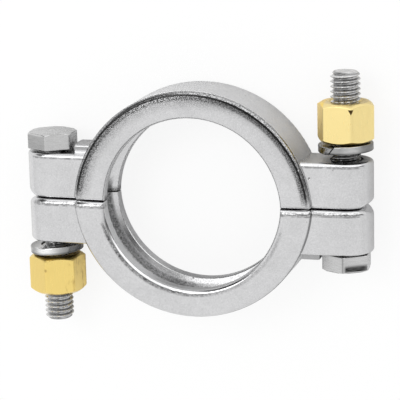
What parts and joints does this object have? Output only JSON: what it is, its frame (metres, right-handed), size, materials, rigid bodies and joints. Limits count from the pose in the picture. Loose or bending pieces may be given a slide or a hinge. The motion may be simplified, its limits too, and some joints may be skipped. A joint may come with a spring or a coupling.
{
  "type": "sanitary pipe clamp",
  "caption": "Split ring clamp with bolted ears and an inner V groove that squeezes flanged tube ends together, closed by bolts with tall brass nuts and lock washers.",
  "frame": {"origin": "centre of the ring, on its middle plane and half way between the two split faces", "axes": "+Z along the ring axis, out of the front face; +Y along the bolts, towards the upper half; +X towards the right ear"},
  "size_m": [0.1149, 0.0845, 0.02],
  "materials": {
    "casting": "tumbled and polished stainless casting with fine pits",
    "bolt_steel": "plain stainless bolt, duller than the casting",
    "spring_steel": "bright rolled strip",
    "nut_brass": "machined pale brass"
  },
  "bodies": {
    "lower_half": {"clamp_half_lower": "casting"},
    "upper_half": {"clamp_half_upper": "casting"},
    "left_bolt": {"bolt_left": "bolt_steel"},
    "right_bolt": {"bolt_right": "bolt_steel"},
    "left_washer": {"lock_washer_left": "spring_steel"},
    "right_washer": {"lock_washer_right": "spring_steel"},
    "left_nut": {"nut_left": "nut_brass"},
    "right_nut": {"nut_right": "nut_brass"}
  },
  "joints": [
    {"name": "halves_part", "type": "slide", "parent": "lower_half", "child": "upper_half", "axis": [0, 1, 0], "range_m": [0, 0.0191]},
    {"name": "right_bolt_slip", "type": "slide", "parent": "lower_half", "child": "right_bolt", "axis": [0, 1, 0], "range_m": [-0.0016, 0.0004]},
    {"name": "left_bolt_slip", "type": "slide", "parent": "upper_half", "child": "left_bolt", "axis": [0, -1, 0], "range_m": [0, 0.0007]},
    {"name": "right_washer_travel", "type": "slide", "parent": "right_bolt", "child": "right_washer", "axis": [0, 1, 0], "range_m": [0, 0.0191]},
    {"name": "right_nut_turn", "type": "hinge", "parent": "right_washer", "child": "right_nut", "pos_m": [0.0481, 0.02675, 0], "axis": [0, 1, 0], "range_deg": [0, 4320]},
    {"name": "left_washer_travel", "type": "slide", "parent": "left_bolt", "child": "left_washer", "axis": [0, -1, 0], "range_m": [0, 0.0191]},
    {"name": "left_nut_turn", "type": "hinge", "parent": "left_washer", "child": "left_nut", "pos_m": [-0.0488, -0.02635, 0], "axis": [0, -1, 0], "range_deg": [0, 4320]}
  ],
  "couplings": [
    {"joint": "right_washer_travel", "follows": "right_nut_turn", "m_per_rad": 0.00025266},
    {"joint": "halves_part", "follows": "right_nut_turn", "m_per_rad": 0.00025266},
    {"joint": "left_washer_travel", "follows": "right_nut_turn", "m_per_rad": 0.00025266},
    {"joint": "left_nut_turn", "follows": "right_nut_turn", "ratio": 1}
  ]
}
